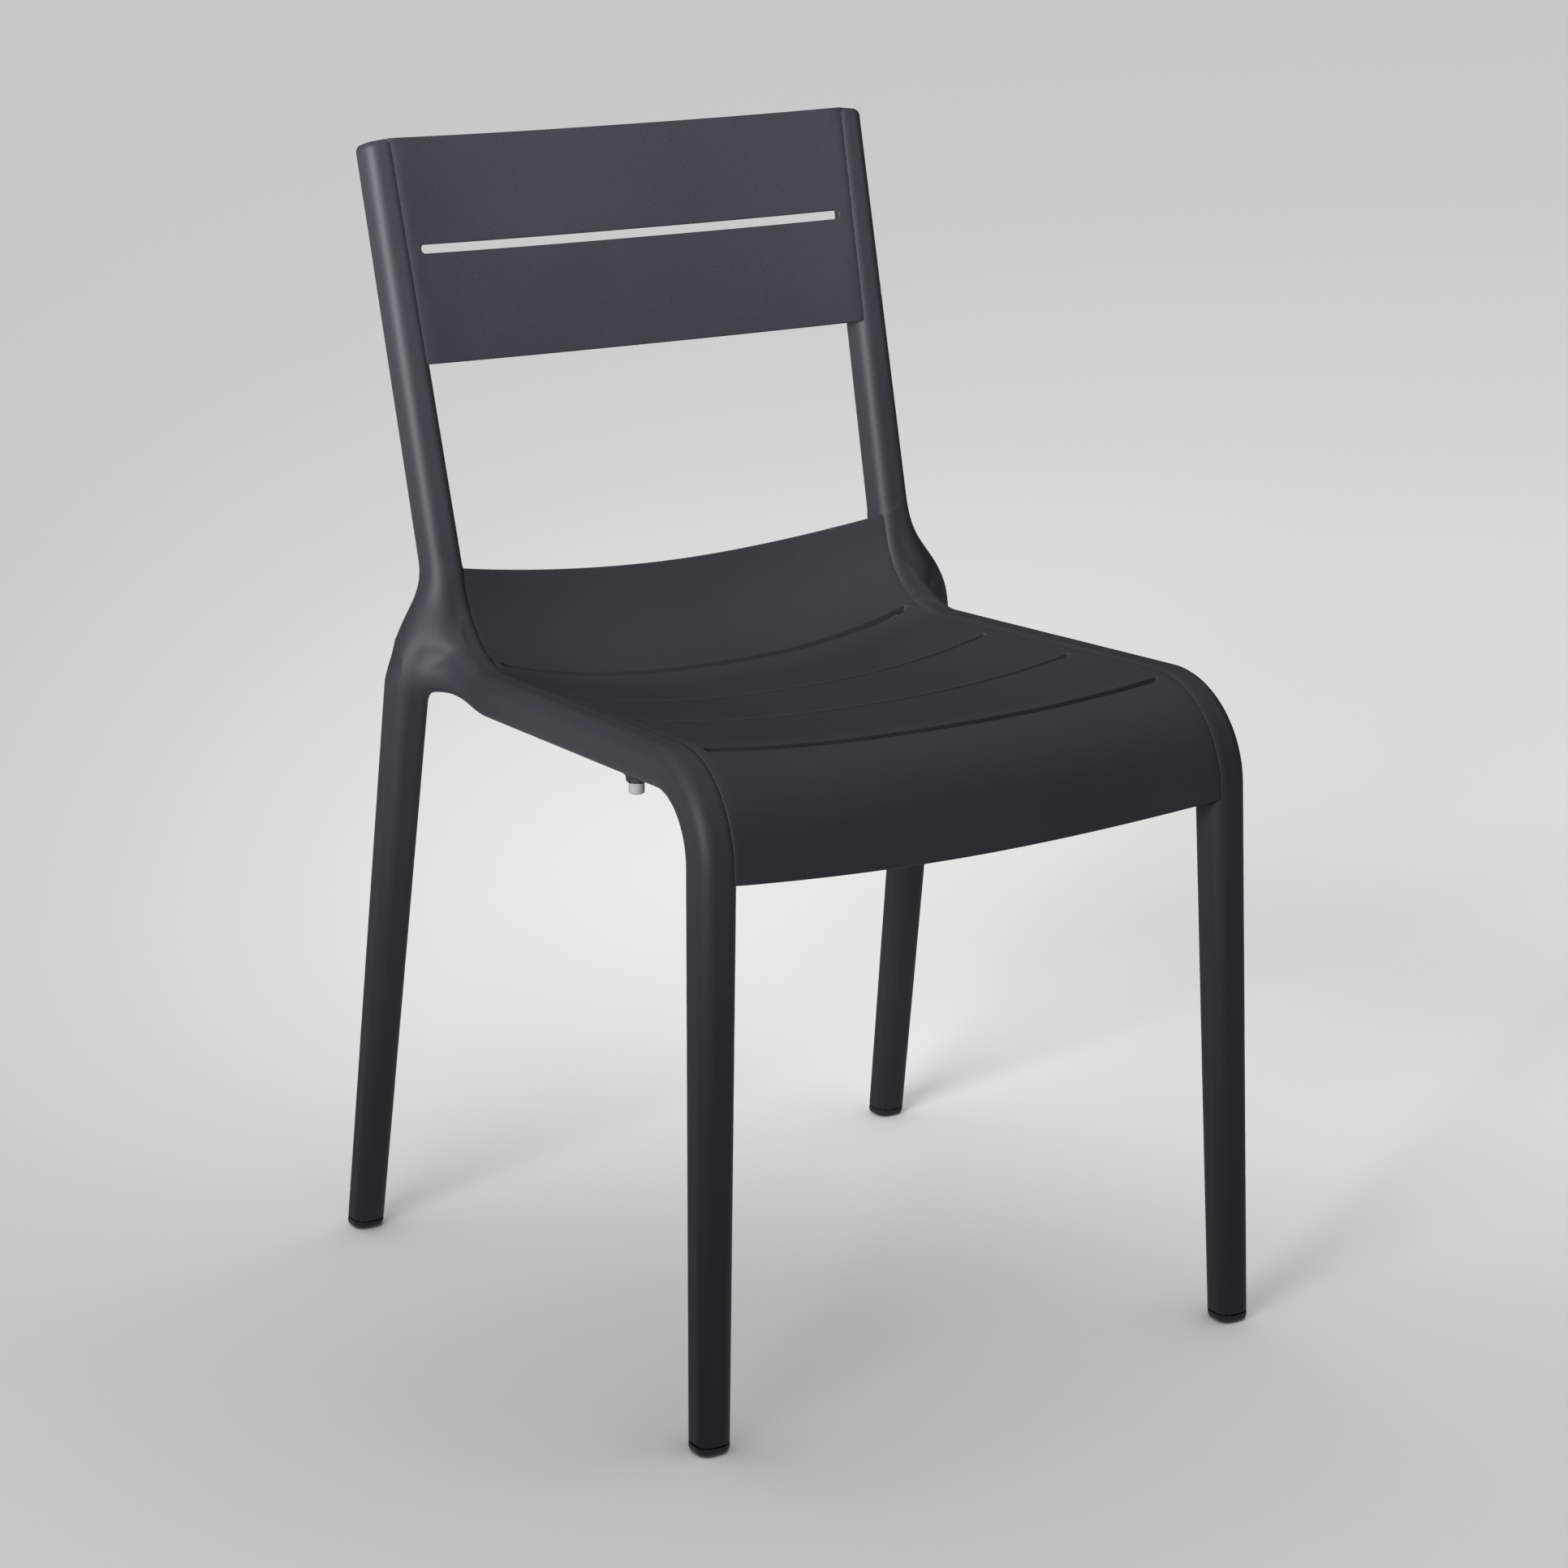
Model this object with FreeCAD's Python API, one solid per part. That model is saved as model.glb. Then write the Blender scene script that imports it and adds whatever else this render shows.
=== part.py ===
import FreeCAD, Part
import math
import os
from FreeCAD import Vector

# A stacking chair moulded in glass-filled polypropylene: two tubular side frames
# carry a dished seat panel and a curved back panel that lap onto the tubes.
# Millimetres. +Z is up, the chair faces -Y, and X = 0 is the plane of symmetry.
# The sizes below measure Y from the front feet; build() centres the chair at the end.

# ---- overall sizes: heights of the tubes' centrelines and their runs ----
upright_top_z = 789.5
rail_front_z = 442.9
rail_drop = 17.5
rail_run = 370.9
front_half_width = 196.4
rear_half_width = 183.4

# ---- how the legs and uprights lean ----
front_leg_splay = 12.7
front_leg_rake = 14.5
upright_lean_degrees = 15.04
upright_spread_degrees = 1.23
front_bend_radius = 54.0
rear_bend_radius = 78.0

# ---- rear leg: its shoulder stands outside and behind the rear bend ----
shoulder_outward = 32.6
shoulder_rearward = 12.2
shoulder_rise = 15.6
shoulder_bend_radius = 60.0
rear_leg_merge_rise = 80.6
rear_leg_splay = 11.9
rear_leg_rake = 72.4

# ---- tube: a square section with round corners ----
rail_side = 27.0
upright_side = 23.6
front_foot_side = 24.2
rear_foot_side = 23.4
tube_corner_radius = 9.0
upright_end_rounding = 6.0
bridge_side = 22.0
bridge_start_share = 0.3
bridge_rise = 5.6

# ---- feet: a plug-in glide closes each leg ----
glide_height = 6.0
glide_edge_rounding = 4.0
glide_stem_radius = 5.5
glide_stem_length = 22.0
glide_stem_clearance = 0.1
stem_hole_extra_depth = 1.5

# ---- panels: both lap onto the front of the tubes ----
panel_thickness = 5.0
panel_lap_inset = 9.5
panel_face_rise = 0.55
lap_clearance = 0.15
dish_power = 2.4

# ---- seat panel ----
apron_depth = 64.6
apron_bottom_bow = 11.6
apron_dish = 9.0
seat_front_dish = 12.0
seat_middle_dish = 19.0
seat_rear_dish = 26.0
seat_kick_dish = 21.0
seat_kick_rise = 78.0
seat_kick_bow = 20.0
seat_corner_radius = 12.0

# ---- back panel ----
back_above_upright = 1.0
back_height = 152.3
back_dish = 13.5
back_corner_radius = 9.0

# ---- slots ----
seat_slot_width = 6.0
seat_slot_count = 4
seat_slot_front_margin = 40.5
seat_slot_rear_margin = 34.9
seat_slot_end_margin = 11.0
back_slot_height = 6.8
back_slot_below_top = 75.3
back_slot_end_margin = 9.9

# ---- stacking bumpers under the seat rails ----
bumper_run = 101.5
bumper_boss_radius = 7.0
bumper_boss_drop = 6.5
bumper_cap_radius = 5.2
bumper_cap_height = 7.5
bumper_cap_rounding = 1.5
bumper_stem_radius = 3.0
bumper_stem_length = 7.0
bumper_stem_clearance = 0.1

# ---- how finely the dished panels are formed ----
stations_per_stretch = 6
points_across = 8
overrun = 10.0


def rounded_path(corners, radii):
    """Straight runs between the corners, with a tangent arc at each inner corner."""
    edges = []
    start = corners[0]
    for before, corner, after, radius in zip(corners, corners[1:], corners[2:], radii):
        back = (before - corner).normalize()
        ahead = (after - corner).normalize()
        half_angle = back.getAngle(ahead) / 2
        reach = radius / math.tan(half_angle)
        inward = (back + ahead).normalize()
        middle = corner + inward * (radius / math.sin(half_angle) - radius)
        entry = corner + back * reach
        leave = corner + ahead * reach
        edges.append(Part.LineSegment(start, entry).toShape())
        edges.append(Part.Arc(entry, middle, leave).toShape())
        start = leave
    edges.append(Part.LineSegment(start, corners[-1]).toShape())
    return edges


def front_corner():
    """Where the centrelines of front leg and seat rail would meet."""
    return Vector(front_half_width, front_leg_rake, rail_front_z)


def rear_corner():
    """Where the centrelines of seat rail and upright would meet."""
    return Vector(rear_half_width, front_leg_rake + rail_run, rail_front_z - rail_drop)


def upright_axis(z):
    """The point of the upright's centreline at height z."""
    low = rear_corner()
    rise = z - low.z
    outward = rise * math.tan(math.radians(upright_spread_degrees))
    rearward = rise * math.tan(math.radians(upright_lean_degrees))
    return low + Vector(outward, rearward, rise)


def rail_axis(run):
    """The point of the rail's centreline a given run behind the front corner."""
    return front_corner() + (rear_corner() - front_corner()) * (run / rail_run)


def rear_shoulder():
    """Where the straight rear leg ends and turns in towards the upright."""
    return rear_corner() + Vector(shoulder_outward, shoulder_rearward, shoulder_rise)


def frame_path():
    """Front leg, front bend, seat rail, rear bend and upright, in that order."""
    corners = [
        Vector(front_half_width + front_leg_splay, 0, 0),
        front_corner(),
        rear_corner(),
        upright_axis(upright_top_z),
    ]
    return rounded_path(corners, [front_bend_radius, rear_bend_radius])


def rear_foot():
    """The centre of the rear foot on the floor."""
    shoulder = rear_shoulder()
    return Vector(shoulder.x + rear_leg_splay, shoulder.y + rear_leg_rake, 0)


def rear_leg_path():
    """Rear leg, its shoulder bend, and the run that joins it to the upright."""
    merge = upright_axis(rear_corner().z + rear_leg_merge_rise)
    return rounded_path([rear_foot(), rear_shoulder(), merge], [shoulder_bend_radius])


def tube_section(centre, direction, side):
    """A square with round corners, square to the direction and level across."""
    ahead = Vector(direction).normalize()
    across = Vector(1, 0, 0) - ahead * ahead.x
    across.normalize()
    upward = ahead.cross(across)
    flat = side / 2 - tube_corner_radius
    reach = flat + tube_corner_radius
    slant = flat + tube_corner_radius * math.sqrt(0.5)
    edges = []
    for quarter in range(4):
        angle = quarter * math.pi / 2
        first = across * math.cos(angle) + upward * math.sin(angle)
        second = upward * math.cos(angle) - across * math.sin(angle)
        begin = centre + first * reach + second * flat
        middle = centre + first * slant + second * slant
        end = centre + first * flat + second * reach
        following = centre - first * flat + second * reach
        edges.append(Part.Arc(begin, middle, end).toShape())
        edges.append(Part.LineSegment(end, following).toShape())
    return Part.Wire(edges)


def bent_tube(edges, start_side, end_side):
    """A tube along the bends, its side changing evenly from one end to the other."""
    first = edges[0]
    last = edges[-1]
    start = first.valueAt(first.FirstParameter)
    end = last.valueAt(last.LastParameter)
    start_section = tube_section(start, first.tangentAt(first.FirstParameter), start_side)
    end_section = tube_section(end, last.tangentAt(last.LastParameter), end_side)
    return Part.Wire(edges).makePipeShell([start_section, end_section], True, False)


def tapered_leg(leg_edge, foot_side, growth):
    """The straight leg, slimmer at the foot, run on below the floor for trimming."""
    foot = leg_edge.valueAt(leg_edge.FirstParameter)
    knee = leg_edge.valueAt(leg_edge.LastParameter)
    heading = (knee - foot).normalize()
    low_section = tube_section(foot - heading * overrun, heading, foot_side + 2 * growth)
    high_section = tube_section(knee, heading, rail_side + 2 * growth)
    return Part.makeLoft([low_section, high_section], True, True)


def front_tube(growth):
    """Front leg, rail and upright as one tube, grown outward all round."""
    path = frame_path()
    bends = bent_tube(path[1:], rail_side + 2 * growth, upright_side + 2 * growth)
    return tapered_leg(path[0], front_foot_side, growth).fuse(bends)


def slab(low_z, high_z):
    """A level slice of space, wider than the chair."""
    size = 4 * upright_top_z
    return Part.makeBox(size, size, high_z - low_z, Vector(-size / 2, -size / 2, low_z))


def foot_centre(leg_edge):
    """Where the leg's centreline meets the top face of the glide."""
    foot = leg_edge.valueAt(leg_edge.FirstParameter)
    knee = leg_edge.valueAt(leg_edge.LastParameter)
    return foot + (knee - foot) * (glide_height / (knee.z - foot.z))


def bumper_boss():
    """The round boss that hangs under the rail, with its blind hole for the cap."""
    rail = rail_axis(bumper_run)
    face_z = rail.z - rail_side / 2 - bumper_boss_drop
    return Part.makeCylinder(bumper_boss_radius, rail.z - face_z, Vector(rail.x, rail.y, face_z))


def bumper_hole():
    """The blind hole in the boss, opening downwards."""
    rail = rail_axis(bumper_run)
    face_z = rail.z - rail_side / 2 - bumper_boss_drop
    radius = bumper_stem_radius + bumper_stem_clearance
    depth = bumper_stem_length + stem_hole_extra_depth
    return Part.makeCylinder(radius, depth, Vector(rail.x, rail.y, face_z))


def junction_bridge():
    """The short thick web that closes the crotch between the rear bend and the rear leg."""
    bend = frame_path()[3]
    turn = bend.LastParameter - bend.FirstParameter
    start = bend.valueAt(bend.FirstParameter + turn * bridge_start_share)
    foot = rear_foot()
    shoulder = rear_shoulder()
    end = foot + (shoulder - foot) * ((rear_corner().z + bridge_rise) / shoulder.z)
    heading = end - start
    sections = [tube_section(start, heading, bridge_side), tube_section(end, heading, bridge_side)]
    return Part.makeLoft(sections, True, True)


def side_frame():
    """Right-hand side frame: front leg, rail, upright and rear leg as one moulding."""
    leg_path = rear_leg_path()
    rear_leg = tapered_leg(leg_path[0], rear_foot_side, 0)
    shoulder = bent_tube(leg_path[1:], rail_side, upright_side)
    frame = front_tube(0).fuse([rear_leg, shoulder, junction_bridge(), bumper_boss()])
    frame = frame.cut(slab(-2 * overrun, glide_height))
    for leg_edge in (frame_path()[0], leg_path[0]):
        hole_depth = glide_stem_length + stem_hole_extra_depth
        radius = glide_stem_radius + glide_stem_clearance
        hole = Part.makeCylinder(radius, hole_depth, foot_centre(leg_edge))
        frame = frame.cut(hole)
    frame = frame.cut(bumper_hole()).removeSplitter()
    top = upright_axis(upright_top_z)
    end_face = min(frame.Faces, key=lambda face: face.CenterOfMass.distanceToPoint(top))
    return frame.makeFillet(upright_end_rounding, end_face.Edges)


def foot_glide(leg_edge, foot_side):
    """The glide: the leg's last few millimetres with a rounded edge, and a stem."""
    pad = tapered_leg(leg_edge, foot_side, 0).common(slab(0, glide_height))
    rim = [edge for edge in pad.Edges if edge.BoundBox.ZMax < 0.01]
    pad = pad.makeFillet(glide_edge_rounding, rim)
    stem = Part.makeCylinder(glide_stem_radius, glide_stem_length, foot_centre(leg_edge))
    return pad.fuse(stem).removeSplitter()


def bumper_cap():
    """The pale cap, its stem plugged up into the boss."""
    rail = rail_axis(bumper_run)
    face_z = rail.z - rail_side / 2 - bumper_boss_drop
    bottom = Vector(rail.x, rail.y, face_z - bumper_cap_height)
    cap = Part.makeCylinder(bumper_cap_radius, bumper_cap_height, bottom)
    rim = [edge for edge in cap.Edges if edge.BoundBox.ZMax < bottom.z + 0.01]
    cap = cap.makeFillet(bumper_cap_rounding, rim)
    stem = Part.makeCylinder(bumper_stem_radius, bumper_stem_length, Vector(rail.x, rail.y, face_z))
    return cap.fuse(stem).removeSplitter()


def sitter_side(heading):
    """The direction square to the tube, in the side view, that faces the sitter."""
    return Vector(0, -heading.z, heading.y).normalize()


def panel_section(axis_point, heading, dish):
    """One closed strip across the chair: dished face, square edges, dished back."""
    facing = sitter_side(heading)
    face_height = (rail_side + upright_side) / 4 + panel_face_rise
    half_width = axis_point.x - panel_lap_inset
    face = []
    reverse = []
    for step in range(-points_across, points_across + 1):
        share = step / points_across
        sag = dish * (1 - abs(share) ** dish_power)
        middle = Vector(share * half_width, axis_point.y, axis_point.z)
        point = middle + facing * (face_height - sag)
        face.append(point)
        reverse.append(point - facing * panel_thickness)
    reverse.reverse()
    face_curve = Part.BSplineCurve()
    face_curve.interpolate(face)
    reverse_curve = Part.BSplineCurve()
    reverse_curve.interpolate(reverse)
    right_edge = Part.LineSegment(face[-1], reverse[0]).toShape()
    left_edge = Part.LineSegment(reverse[-1], face[0]).toShape()
    return Part.Wire([face_curve.toShape(), right_edge, reverse_curve.toShape(), left_edge])


def edge_sections(edge, begin, end, dish_begin, dish_end, with_last):
    """Sections along one stretch of the path, from one share of it to another."""
    sections = []
    count = stations_per_stretch
    for step in range(count + 1 if with_last else count):
        share = step / count
        parameter = edge.FirstParameter
        parameter += (edge.LastParameter - edge.FirstParameter) * (begin + (end - begin) * share)
        dish = dish_begin + (dish_end - dish_begin) * share
        sections.append(panel_section(edge.valueAt(parameter), edge.tangentAt(parameter), dish))
    return sections


def share_at_height(edge, z):
    """How far along a straight edge the height z lies, as a share of its length."""
    low = edge.valueAt(edge.FirstParameter).z
    high = edge.valueAt(edge.LastParameter).z
    return (z - low) / (high - low)


def bowed_trim(edge_z, bow, half_width, trim_below):
    """The space beyond a panel's bowed edge: an arc across the chair, run out front to back."""
    radius = (half_width ** 2 + bow ** 2) / (2 * bow)
    far = half_width + 2 * overrun
    middle = Vector(0, 0, edge_z - bow)
    far_z = middle.z + radius - math.sqrt(radius ** 2 - far ** 2)
    left = Vector(-far, 0, far_z)
    right = Vector(far, 0, far_z)
    beyond_z = middle.z - 4 * overrun if trim_below else far_z + 4 * overrun
    low_right = Vector(far, 0, beyond_z)
    low_left = Vector(-far, 0, beyond_z)
    outline = Part.Wire([
        Part.Arc(left, middle, right).toShape(),
        Part.LineSegment(right, low_right).toShape(),
        Part.LineSegment(low_right, low_left).toShape(),
        Part.LineSegment(low_left, left).toShape(),
    ])
    reach = 4 * rail_run
    block = Part.Face(outline).extrude(Vector(0, reach, 0))
    block.translate(Vector(0, -reach / 4, 0))
    return block


def slot_cutter(centre, half_length, width, direction, across_slot):
    """A long slot with round ends, cut along the given direction."""
    depth = 4 * overrun
    start = centre - direction * (depth / 2)
    along = Vector(1, 0, 0) * (half_length - width / 2)
    side = across_slot * (width / 2)
    round_end = Vector(1, 0, 0) * (width / 2)
    outline = Part.Wire([
        Part.LineSegment(start - along + side, start + along + side).toShape(),
        Part.Arc(start + along + side, start + along + round_end, start + along - side).toShape(),
        Part.LineSegment(start + along - side, start - along - side).toShape(),
        Part.Arc(start - along - side, start - along - round_end, start - along + side).toShape(),
    ])
    return Part.Face(outline).extrude(direction * depth)


def clearance_tubes():
    """Both front tubes grown by the lap clearance, for trimming the panels to them."""
    tube = front_tube(lap_clearance)
    return [tube, tube.mirror(Vector(0, 0, 0), Vector(1, 0, 0))]


def round_corners(panel, radius, low_z, high_z):
    """Rounds the panel's outer corners that lie between two heights."""
    corners = []
    for edge in panel.Edges:
        box = edge.BoundBox
        short = edge.Length < 1.3 * panel_thickness
        if short and box.ZMin > low_z and box.ZMax < high_z and box.XLength < 1.0:
            corners.append(edge)
    return panel.makeFillet(radius, corners)


def seat_panel():
    """Seat panel: front apron, dished seat and rear kick-up in one curved sheet."""
    leg, front_bend, rail, rear_bend, upright = frame_path()
    apron_bottom_z = rail_front_z - apron_depth
    kick_top_z = rear_corner().z + seat_kick_rise
    low = share_at_height(leg, apron_bottom_z - 2 * overrun)
    high = share_at_height(upright, kick_top_z + 2 * overrun)
    sections = edge_sections(leg, low, 1, apron_dish, apron_dish, False)
    sections += edge_sections(front_bend, 0, 1, apron_dish, seat_front_dish, False)
    sections += edge_sections(rail, 0, 0.5, seat_front_dish, seat_middle_dish, False)
    sections += edge_sections(rail, 0.5, 1, seat_middle_dish, seat_rear_dish, False)
    sections += edge_sections(rear_bend, 0, 1, seat_rear_dish, seat_kick_dish, False)
    sections += edge_sections(upright, 0, high, seat_kick_dish, seat_kick_dish, True)
    panel = Part.makeLoft(sections, True, False)
    apron_half_width = front_half_width - panel_lap_inset
    kick_half_width = rear_half_width - panel_lap_inset
    panel = panel.cut(bowed_trim(apron_bottom_z, apron_bottom_bow, apron_half_width, True))
    panel = panel.cut(bowed_trim(kick_top_z, seat_kick_bow, kick_half_width, False))
    upward = Vector(0, 0, 1)
    rearward = Vector(0, 1, 0)
    slotted_run = rail_run - seat_slot_front_margin - seat_slot_rear_margin
    slot_pitch = slotted_run / (seat_slot_count - 1)
    for index in range(seat_slot_count):
        rail_point = rail_axis(seat_slot_front_margin + index * slot_pitch)
        half_length = rail_point.x - panel_lap_inset - seat_slot_end_margin
        centre = Vector(0, rail_point.y, rail_point.z)
        panel = panel.cut(slot_cutter(centre, half_length, seat_slot_width, upward, rearward))
    panel = round_corners(panel, seat_corner_radius, 0, rail_front_z)
    return panel.cut(clearance_tubes())


def back_panel():
    """Back panel: a gently curved sheet between the uprights with one long slot."""
    upright = frame_path()[-1]
    back_top_z = upright_top_z + back_above_upright
    slot_z = back_top_z - back_slot_below_top
    low = share_at_height(upright, back_top_z - back_height)
    high = share_at_height(upright, back_top_z)
    sections = edge_sections(upright, low, high, back_dish, back_dish, True)
    panel = Part.makeLoft(sections, True, False)
    panel = round_corners(panel, back_corner_radius, 0, slot_z)
    heading = upright.tangentAt(upright.FirstParameter)
    facing = sitter_side(heading)
    rising = Vector(0, heading.y, heading.z).normalize()
    axis_point = upright_axis(slot_z)
    centre = Vector(0, axis_point.y, axis_point.z)
    half_length = axis_point.x - panel_lap_inset - back_slot_end_margin
    cutter = slot_cutter(centre, half_length, back_slot_height, facing, rising)
    return panel.cut(cutter).cut(clearance_tubes())


def build():
    """Every piece by name, moved so that the chair's box is centred on the origin."""
    handed = {
        "side_frame": side_frame(),
        "front_foot_glide": foot_glide(frame_path()[0], front_foot_side),
        "rear_foot_glide": foot_glide(rear_leg_path()[0], rear_foot_side),
        "stacking_bumper_cap": bumper_cap(),
    }
    pieces = {"seat_panel": seat_panel(), "back_panel": back_panel()}
    for name, shape in handed.items():
        pieces[name + "_right"] = shape
        pieces[name + "_left"] = shape.mirror(Vector(0, 0, 0), Vector(1, 0, 0))
    whole = Part.makeCompound(list(pieces.values())).optimalBoundingBox(False, False)
    for shape in pieces.values():
        shape.translate(Vector(0, -(whole.YMin + whole.YMax) / 2, 0))
    return pieces


os.makedirs("parts", exist_ok=True)
for name, shape in build().items():
    print(name, shape.ShapeType, len(shape.Solids), shape.isValid(), round(shape.Volume / 1000, 1), "cm3")
    shape.exportStep("parts/" + name + ".step")
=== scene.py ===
import math

import bpy
import numpy as np
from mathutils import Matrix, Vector
from mathutils.geometry import delaunay_2d_cdt


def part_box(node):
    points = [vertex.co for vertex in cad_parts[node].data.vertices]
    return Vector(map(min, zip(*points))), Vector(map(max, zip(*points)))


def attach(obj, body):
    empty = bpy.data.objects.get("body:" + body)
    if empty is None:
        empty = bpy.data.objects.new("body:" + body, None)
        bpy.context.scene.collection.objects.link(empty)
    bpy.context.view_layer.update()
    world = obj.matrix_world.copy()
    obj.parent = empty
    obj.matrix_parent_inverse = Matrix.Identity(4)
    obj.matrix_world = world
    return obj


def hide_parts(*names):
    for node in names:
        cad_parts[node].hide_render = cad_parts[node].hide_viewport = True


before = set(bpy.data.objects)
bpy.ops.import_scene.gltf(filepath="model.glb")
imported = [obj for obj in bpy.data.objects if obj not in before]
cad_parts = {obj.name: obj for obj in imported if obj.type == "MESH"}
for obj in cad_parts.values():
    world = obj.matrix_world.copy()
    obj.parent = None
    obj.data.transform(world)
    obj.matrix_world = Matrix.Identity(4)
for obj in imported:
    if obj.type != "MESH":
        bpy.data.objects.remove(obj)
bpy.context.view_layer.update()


# ---------------------------------------------------------------------------------------
# SIDE FRAMES
# Each side is one moulding in glass-filled polypropylene. Front leg, seat rail and upright
# are a single bent tube, square with soft corners, and the rear leg flows out of its rear
# bend. The right one is modelled as a smooth skin over those tubes, and the left mirrors it.
# ---------------------------------------------------------------------------------------
foot_low, foot_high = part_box("front_foot_glide_right")
glide_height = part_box("side_frame_right")[0].z
rail_run = 0.3709

front_foot = np.array([(foot_low.x + foot_high.x) / 2, (foot_low.y + foot_high.y) / 2, 0.0])
front_corner = front_foot + [-0.0127, 0.0145, 0.4429]
rear_corner = front_corner + [-0.0130, rail_run, -0.0175]
upright_slope = np.array([math.tan(math.radians(1.23)), math.tan(math.radians(15.04)), 1.0])
upright_top = rear_corner + upright_slope * 0.3641
front_bend_radius = 0.056
rear_bend_radius = 0.078

shoulder = rear_corner + [0.0326, 0.0122, 0.0156]
rear_foot = shoulder + [0.0119, 0.0724, -shoulder[2]]
leg_merge = rear_corner + upright_slope * 0.0730
shoulder_radius = 0.060

front_foot_sides = (0.0243, 0.0245)
rear_foot_sides = (0.0238, 0.0238)
rail_sides = (0.0272, 0.0290)
upright_sides = (0.0236, 0.0248)
merge_sides = (0.0140, 0.0140)
corner_radius = 0.009
foot_edge_rounding = 0.0003
upright_rounding = 0.0048
upright_extra = 0.0006
upright_top_tilt = 0.08
web_sides = (0.019, 0.020)
web_start_share = 0.3
web_rise = 0.0056
infill_sides = (0.0185, 0.0185)
infill_start_share = 0.62
infill_end_share = 0.55
joint_softness = 0.012
crotch_softness = 0.028
crotch_height = 0.456
crotch_reach = 0.026
crotch_side = 0.192
crotch_fade = 0.010
web_softness = 0.011

boss_run = 0.1015
boss_radius = 0.007
boss_depth = 0.0200
boss_softness = 0.002
boss_edge_rounding = 0.0006


def unit(vector):
    return vector / np.linalg.norm(vector)


def straight(start, end):
    """A straight stretch of centreline."""
    length = np.linalg.norm(end - start)
    return {"start": start, "ahead": (end - start) / length, "length": length, "bend": None}


def centreline(corners, radii):
    """Straight stretches joined by a tangent arc at each inner corner."""
    stretches = []
    start = corners[0]
    for before, corner, after, radius in zip(corners, corners[1:], corners[2:], radii):
        back = unit(before - corner)
        onward = unit(after - corner)
        half_angle = math.acos(float(back @ onward)) / 2
        enter = corner + back * (radius / math.tan(half_angle))
        centre = corner + unit(back + onward) * (radius / math.sin(half_angle))
        stretches.append(straight(start, enter))
        sweep = math.pi - 2 * half_angle
        stretches.append({
            "start": enter, "ahead": -back, "length": radius * sweep,
            "bend": (centre, radius, unit(enter - centre)),
        })
        start = corner + onward * (radius / math.tan(half_angle))
    stretches.append(straight(start, corners[-1]))
    return stretches


def taper(stretches, first_sides, last_sides):
    """Gives each stretch its width and depth at both ends, changing evenly along the length."""
    first = np.array(first_sides)
    change = np.array(last_sides) - first
    whole = sum(stretch["length"] for stretch in stretches)
    run = 0.0
    for stretch in stretches:
        low = first + change * run / whole
        run += stretch["length"]
        stretch["sides"] = (low, first + change * run / whole)
    return stretches


def along(stretch, share):
    """Points and headings of the centreline at the given shares of a stretch."""
    run = (share * stretch["length"])[..., None]
    if stretch["bend"] is None:
        heading = np.broadcast_to(stretch["ahead"], run.shape[:-1] + (3,))
        return stretch["start"] + heading * run, heading
    centre, radius, outward = stretch["bend"]
    angle = run / radius
    point = centre + radius * (outward * np.cos(angle) + stretch["ahead"] * np.sin(angle))
    return point, stretch["ahead"] * np.cos(angle) - outward * np.sin(angle)


def nearest_share(stretch, points, open_start, open_end, far_off=9.0):
    """Where each point falls along a stretch, held to its ends unless they are open."""
    if stretch["bend"] is None:
        share = (points - stretch["start"]) @ stretch["ahead"] / stretch["length"]
    else:
        centre, radius, outward = stretch["bend"]
        arm = points - centre
        share = np.arctan2(arm @ stretch["ahead"], arm @ outward) * radius / stretch["length"]
    return np.clip(share, -far_off if open_start else 0.0, far_off if open_end else 1.0)


def tube_distance(points, stretches, open_start=True, open_end=True, end_slack=1e-6):
    """Distance from the skin of a rounded square tube, negative inside it. Past a closed end, it
    is never less than the way back to that end."""
    best = np.full(len(points), np.inf)
    result = np.full(len(points), np.inf)
    for index, stretch in enumerate(stretches):
        first = open_start and index == 0
        last = open_end and index == len(stretches) - 1
        share = nearest_share(stretch, points, first, last)
        middle, heading = along(stretch, share)
        arm = points - middle
        across = np.array([1.0, 0.0, 0.0]) - heading * heading[:, :1]
        across /= np.linalg.norm(across, axis=1)[:, None]
        upward = np.cross(heading, across)
        low, high = stretch["sides"]
        half = (low + (high - low) * np.clip(share, 0, 1)[:, None]) / 2
        radius = np.minimum(corner_radius, half.min(1))
        offset = np.stack([(arm * across).sum(1), (arm * upward).sum(1)], 1)
        reach = np.abs(offset) - half + radius[:, None]
        skin = np.linalg.norm(np.maximum(reach, 0), axis=1) + np.minimum(reach.max(1), 0) - radius
        overshoot = np.abs((arm * heading).sum(1))
        skin = np.where(overshoot > end_slack, np.maximum(skin, overshoot), skin)
        separation = (arm ** 2).sum(1)
        closer = separation < best
        best = np.where(closer, separation, best)
        result = np.where(closer, skin, result)
    return result


def soft_union(first, second, softness):
    """Joins two solids with a smooth hollow along the joint."""
    overlap = np.maximum(softness - np.abs(first - second), 0) / softness
    return np.minimum(first, second) - overlap ** 2 * softness / 4


def soft_cut(first, second, radius):
    """Keeps what is inside both solids, with a round edge where they meet."""
    both = np.stack([first, second], 1) + radius
    return np.linalg.norm(np.maximum(both, 0), axis=1) + np.minimum(both.max(1), 0) - radius


main_path = centreline(
    [front_foot, front_corner, rear_corner, upright_top], [front_bend_radius, rear_bend_radius])
taper(main_path[:1], front_foot_sides, rail_sides)
taper(main_path[1:3], rail_sides, rail_sides)
taper(main_path[3:], rail_sides, upright_sides)
leg_path = centreline([rear_foot, shoulder, leg_merge], [shoulder_radius])
taper(leg_path[:1], rear_foot_sides, rail_sides)
taper(leg_path[1:], rail_sides, merge_sides)

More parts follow.
